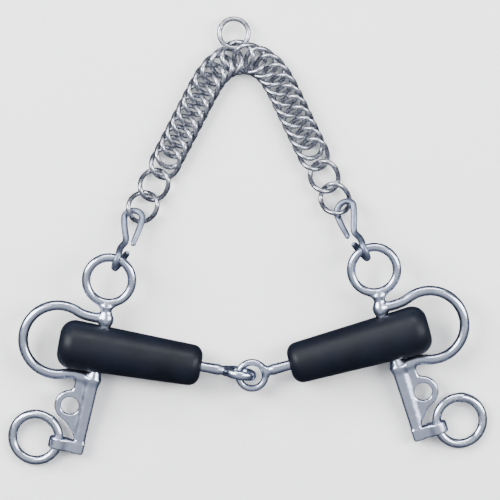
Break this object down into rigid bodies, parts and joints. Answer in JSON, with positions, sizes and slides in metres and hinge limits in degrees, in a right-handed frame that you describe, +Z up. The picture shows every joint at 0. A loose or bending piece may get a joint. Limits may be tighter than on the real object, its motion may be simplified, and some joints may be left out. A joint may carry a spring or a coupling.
{
  "type": "jointed pelham bit",
  "caption": "Jointed horse bit with rubber-covered mouth, short ringed cheeks, curb rings and a double-link curb chain on two hooks; holds bridle cheekpieces, reins and chin chain.",
  "frame": {"origin": "middle of the outline seen from above, on the surface that the bit lies on", "axes": "+X across the mouth to the right cheek, +Y from the mouth to the curb chain, +Z up"},
  "size_m": [0.2106, 0.1932, 0.0216],
  "materials": {
    "cheek_steel": "polished stainless steel with a light satin bloom",
    "hook_steel": "stainless steel, darker and duller than the cheeks",
    "chain_steel": "polished stainless wire",
    "rubber": "smooth moulded black rubber, satin"
  },
  "bodies": {
    "left_mouthpiece": {"left_mouth_core": "cheek_steel", "left_rubber_sleeve": "rubber"},
    "right_mouthpiece": {"right_mouth_core": "cheek_steel", "right_rubber_sleeve": "rubber"},
    "left_cheek_body": {"left_cheek": "cheek_steel"},
    "right_cheek_body": {"right_cheek": "cheek_steel"},
    "left_curb_ring_body": {"left_curb_ring": "cheek_steel"},
    "right_curb_ring_body": {"right_curb_ring": "cheek_steel"},
    "left_hook_body": {"left_curb_hook": "hook_steel"},
    "right_hook_body": {"right_curb_hook": "hook_steel"},
    "chain_link_01_body": {"chain_link_01": "chain_steel"},
    "chain_link_02_body": {"chain_link_02": "chain_steel"},
    "chain_link_03_body": {"chain_link_03": "chain_steel"},
    "chain_run_04_to_06_body": {"chain_link_04": "chain_steel", "chain_link_05": "chain_steel", "chain_link_06": "chain_steel"},
    "chain_run_07_to_09_body": {"chain_link_07": "chain_steel", "chain_link_08": "chain_steel", "chain_link_09": "chain_steel"},
    "chain_run_10_to_12_body": {"chain_link_10": "chain_steel", "chain_link_11": "chain_steel", "chain_link_12": "chain_steel"},
    "chain_run_13_to_15_body": {"chain_link_13": "chain_steel", "chain_link_14": "chain_steel", "chain_link_15": "chain_steel"},
    "chain_run_16_to_18_body": {"chain_link_16": "chain_steel", "chain_link_17": "chain_steel", "chain_link_18": "chain_steel"},
    "chain_run_19_to_21_body": {"chain_link_19": "chain_steel", "chain_link_20": "chain_steel", "chain_link_21": "chain_steel"},
    "chain_run_22_to_24_body": {"chain_link_22": "chain_steel", "chain_link_23": "chain_steel", "chain_link_24": "chain_steel"},
    "chain_link_25_body": {"chain_link_25": "chain_steel"},
    "chain_link_26_body": {"chain_link_26": "chain_steel"},
    "chain_link_27_body": {"chain_link_27": "chain_steel"},
    "fly_link_body": {"fly_link": "chain_steel"}
  },
  "joints": [
    {"name": "mouth_joint", "type": "hinge", "parent": "left_mouthpiece", "child": "right_mouthpiece", "pos_m": [0.00279, -0.06096, 0.00836], "axis": [0, 0, 1], "range_deg": [-12, 15]},
    {"name": "left_cheek_swivel", "type": "hinge", "parent": "left_mouthpiece", "child": "left_cheek_body", "pos_m": [-0.06312, -0.0468, 0.01039], "axis": [0.2588, 0.9562, 0.137], "range_deg": [-18, 18]},
    {"name": "left_curb_ring_swing", "type": "hinge", "parent": "left_cheek_body", "child": "left_curb_ring_body", "pos_m": [-0.08329, -0.08726, 0.00459], "axis": [0.2588, 0.9562, 0.137], "range_deg": [-100, 100]},
    {"name": "right_cheek_swivel", "type": "hinge", "parent": "right_mouthpiece", "child": "right_cheek_body", "pos_m": [0.06312, -0.0468, 0.01039], "axis": [-0.2588, 0.9562, 0.137], "range_deg": [-18, 18]},
    {"name": "right_curb_ring_swing", "type": "hinge", "parent": "right_cheek_body", "child": "right_curb_ring_body", "pos_m": [0.08329, -0.08726, 0.00459], "axis": [-0.2588, 0.9562, 0.137], "range_deg": [-100, 100]},
    {"name": "left_hook_swing", "type": "hinge", "parent": "left_mouthpiece", "child": "left_hook_body", "pos_m": [-0.05271, -0.00834, 0.0159], "axis": [0, 0, 1], "range_deg": [-17.9, 21.8]},
    {"name": "right_hook_swing", "type": "hinge", "parent": "right_mouthpiece", "child": "right_hook_body", "pos_m": [0.05271, -0.00834, 0.0159], "axis": [0, 0, 1], "range_deg": [-22.3, 18.2]},
    {"name": "link_01_bend", "type": "hinge", "parent": "left_hook_body", "child": "chain_link_01_body", "pos_m": [-0.04596, 0.01083, 0.00575], "axis": [0, 0, 1], "range_deg": [-3.6, 4]},
    {"name": "link_02_bend", "type": "hinge", "parent": "chain_link_01_body", "child": "chain_link_02_body", "pos_m": [-0.03952, 0.0195, 0.00484], "axis": [0, 0, 1], "range_deg": [-6.3, 5.4]},
    {"name": "link_03_bend", "type": "hinge", "parent": "chain_link_02_body", "child": "chain_link_03_body", "pos_m": [-0.03414, 0.02898, 0.00422], "axis": [0, 0, 1], "range_deg": [-11.4, 9.5]},
    {"name": "run_04_to_06_bend", "type": "hinge", "parent": "chain_link_03_body", "child": "chain_run_04_to_06_body", "pos_m": [-0.03017, 0.03598, 0.00401], "axis": [0, 0, 1], "range_deg": [-5.3, 4.7]},
    {"name": "run_07_to_09_bend", "type": "hinge", "parent": "chain_run_04_to_06_body", "child": "chain_run_07_to_09_body", "pos_m": [-0.02247, 0.04955, 0.0039], "axis": [0, 0, 1], "range_deg": [-3.7, 3.4]},
    {"name": "run_10_to_12_bend", "type": "hinge", "parent": "chain_run_07_to_09_body", "child": "chain_run_10_to_12_body", "pos_m": [-0.01474, 0.0631, 0.00389], "axis": [0, 0, 1], "range_deg": [-3.2, 3.5]},
    {"name": "run_13_to_15_bend", "type": "hinge", "parent": "chain_run_10_to_12_body", "child": "chain_run_13_to_15_body", "pos_m": [-0.00506, 0.07513, 0.00389], "axis": [0, 0, 1], "range_deg": [-5.2, 6.1]},
    {"name": "run_16_to_18_bend", "type": "hinge", "parent": "chain_run_19_to_21_body", "child": "chain_run_16_to_18_body", "pos_m": [0.02006, 0.06575, 0.00389], "axis": [0, 0, 1], "range_deg": [-2.3, 2.2]},
    {"name": "run_19_to_21_bend", "type": "hinge", "parent": "chain_run_22_to_24_body", "child": "chain_run_19_to_21_body", "pos_m": [0.02642, 0.05151, 0.0039], "axis": [0, 0, 1], "range_deg": [-3.5, 3.9]},
    {"name": "run_22_to_24_bend", "type": "hinge", "parent": "chain_link_25_body", "child": "chain_run_22_to_24_body", "pos_m": [0.03258, 0.03718, 0.00401], "axis": [0, 0, 1], "range_deg": [-4.1, 4.7]},
    {"name": "link_25_bend", "type": "hinge", "parent": "chain_link_26_body", "child": "chain_link_25_body", "pos_m": [0.03575, 0.02978, 0.00422], "axis": [0, 0, 1], "range_deg": [-7.8, 9.3]},
    {"name": "link_26_bend", "type": "hinge", "parent": "chain_link_27_body", "child": "chain_link_26_body", "pos_m": [0.04006, 0.01977, 0.00484], "axis": [0, 0, 1], "range_deg": [-5, 5.8]},
    {"name": "link_27_bend", "type": "hinge", "parent": "right_hook_body", "child": "chain_link_27_body", "pos_m": [0.0455, 0.01044, 0.00575], "axis": [0, 0, 1], "range_deg": [-3.3, 3]},
    {"name": "fly_link_flap", "type": "hinge", "parent": "chain_run_13_to_15_body", "child": "fly_link_body", "pos_m": [0.00118, 0.0855, 0.00389], "axis": [0.9932, 0.1167, 0], "range_deg": [-8, 8]}
  ],
  "couplings": [
    {"joint": "left_hook_swing", "follows": "mouth_joint", "ratio": 1.3209},
    {"joint": "right_hook_swing", "follows": "mouth_joint", "ratio": -1.3529},
    {"joint": "link_01_bend", "follows": "mouth_joint", "ratio": 0.131},
    {"joint": "link_02_bend", "follows": "mouth_joint", "ratio": -0.2868},
    {"joint": "link_03_bend", "follows": "mouth_joint", "ratio": -0.6272},
    {"joint": "run_04_to_06_bend", "follows": "mouth_joint", "ratio": -0.2226},
    {"joint": "run_07_to_09_bend", "follows": "mouth_joint", "ratio": -0.1154},
    {"joint": "run_10_to_12_bend", "follows": "mouth_joint", "ratio": 0.0984},
    {"joint": "run_13_to_15_bend", "follows": "mouth_joint", "ratio": 0.2702},
    {"joint": "run_16_to_18_bend", "follows": "mouth_joint", "ratio": -0.0185},
    {"joint": "run_19_to_21_bend", "follows": "mouth_joint", "ratio": 0.1267},
    {"joint": "run_22_to_24_bend", "follows": "mouth_joint", "ratio": 0.1787},
    {"joint": "link_25_bend", "follows": "mouth_joint", "ratio": 0.484},
    {"joint": "link_26_bend", "follows": "mouth_joint", "ratio": 0.2523},
    {"joint": "link_27_bend", "follows": "mouth_joint", "ratio": -0.0867}
  ]
}
